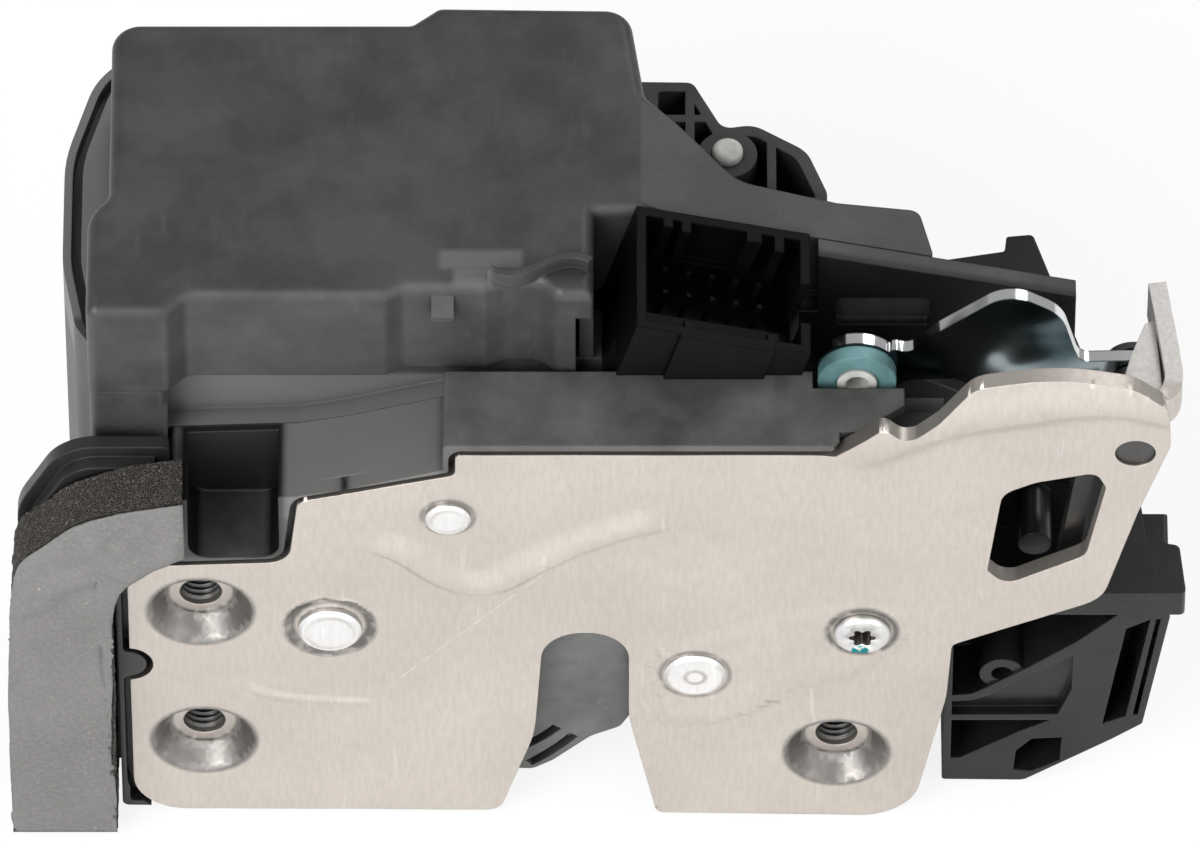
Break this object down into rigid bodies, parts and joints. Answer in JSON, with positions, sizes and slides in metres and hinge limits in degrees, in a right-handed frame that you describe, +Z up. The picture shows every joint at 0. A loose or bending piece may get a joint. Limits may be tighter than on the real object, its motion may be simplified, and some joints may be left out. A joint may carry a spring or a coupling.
{
  "type": "door latch actuator",
  "caption": "Vehicle door latch in a steel face plate, with a black plastic lock actuator housing, connector socket, release levers and a foam edge seal",
  "frame": {"origin": "axis of the lower left fixing hole at the face plate's front face", "axes": "+X along the face plate to the right, +Y from the face plate back into the door, +Z up"},
  "size_m": [0.1664, 0.0809, 0.1049],
  "materials": {
    "plate_steel": "zinc plated, lightly brushed",
    "rivet_steel": "bright headed steel",
    "hidden_steel": "phosphated steel",
    "lever_zinc": "grey zinc plate",
    "black_plastic": "fine grained black",
    "socket_plastic": "black, satin",
    "ratchet_plastic": "dark grey, greased",
    "foam": "black open-cell foam",
    "tape": "grey film tape",
    "bumper_rubber": "matt",
    "teal_plastic": "teal moulding",
    "white_plastic": "white moulding",
    "brass": "tinned brass",
    "motor_can": "plated can"
  },
  "bodies": {
    "latch": {"face_plate": "plate_steel", "ratchet_rivet": "rivet_steel", "pawl_rivet": "rivet_steel", "guide_rivet": "rivet_steel", "cover_screw": "rivet_steel", "lever_pivot_pin": "rivet_steel", "inside_lever_pin": "rivet_steel", "case_screws": "rivet_steel", "back_plate": "hidden_steel", "ratchet_spring": "hidden_steel", "pawl_spring": "hidden_steel", "wheel_axle": "hidden_steel", "lock_axle": "hidden_steel", "latch_housing": "black_plastic", "actuator_cover": "black_plastic", "actuator_base": "black_plastic", "side_housing": "black_plastic", "connector_socket": "socket_plastic", "foam_seal": "foam", "seal_tape": "tape", "striker_bumper": "bumper_rubber", "lock_pin": "white_plastic", "terminal_pins": "brass", "lock_motor": "motor_can"},
    "ratchet_body": {"ratchet": "ratchet_plastic", "ratchet_core": "hidden_steel"},
    "pawl_body": {"pawl": "hidden_steel"},
    "outside_lever_body": {"outside_release_lever": "lever_zinc", "rod_grommet": "teal_plastic", "grommet_insert": "white_plastic"},
    "inside_lever_body": {"inside_release_lever": "hidden_steel"},
    "worm_body": {"worm": "brass"},
    "wheel_body": {"worm_wheel": "white_plastic"},
    "lock_lever_body": {"lock_lever": "white_plastic"}
  },
  "joints": [
    {"name": "ratchet_turn", "type": "hinge", "parent": "latch", "child": "ratchet_body", "pos_m": [0.06975, 0.00675, 0.0162], "axis": [0, 1, 0], "range_deg": [0, 66], "stiffness_Nm_per_rad": 0.02},
    {"name": "outside_release", "type": "hinge", "parent": "latch", "child": "outside_lever_body", "pos_m": [0.1309, 0.0146, 0.0663], "axis": [0, 1, 0], "range_deg": [0, 12], "stiffness_Nm_per_rad": 0.05},
    {"name": "pawl_lift", "type": "hinge", "parent": "latch", "child": "pawl_body", "pos_m": [0.0182, 0.00675, 0.0265], "axis": [0, 1, 0], "range_deg": [-5, 0], "stiffness_Nm_per_rad": 0.02},
    {"name": "inside_release", "type": "hinge", "parent": "latch", "child": "inside_lever_body", "pos_m": [0.112, 0.0225, 0.044], "axis": [0, 1, 0], "range_deg": [0, 15], "stiffness_Nm_per_rad": 0.05},
    {"name": "wheel_turn", "type": "hinge", "parent": "latch", "child": "wheel_body", "pos_m": [0.014, 0.053, 0.05], "axis": [0, 0, 1], "range_deg": [0, 100]},
    {"name": "worm_turn", "type": "hinge", "parent": "latch", "child": "worm_body", "pos_m": [0.014, 0.0344, 0.05], "axis": [1, 0, 0], "range_deg": [-3000, 0]},
    {"name": "lock_turn", "type": "hinge", "parent": "latch", "child": "lock_lever_body", "pos_m": [0.039, 0.053, 0.0559], "axis": [0, 0, 1], "range_deg": [-25, 0]}
  ],
  "couplings": [
    {"joint": "pawl_lift", "follows": "outside_release", "ratio": -0.416},
    {"joint": "worm_turn", "follows": "wheel_turn", "ratio": -30},
    {"joint": "lock_turn", "follows": "wheel_turn", "ratio": -0.25}
  ]
}
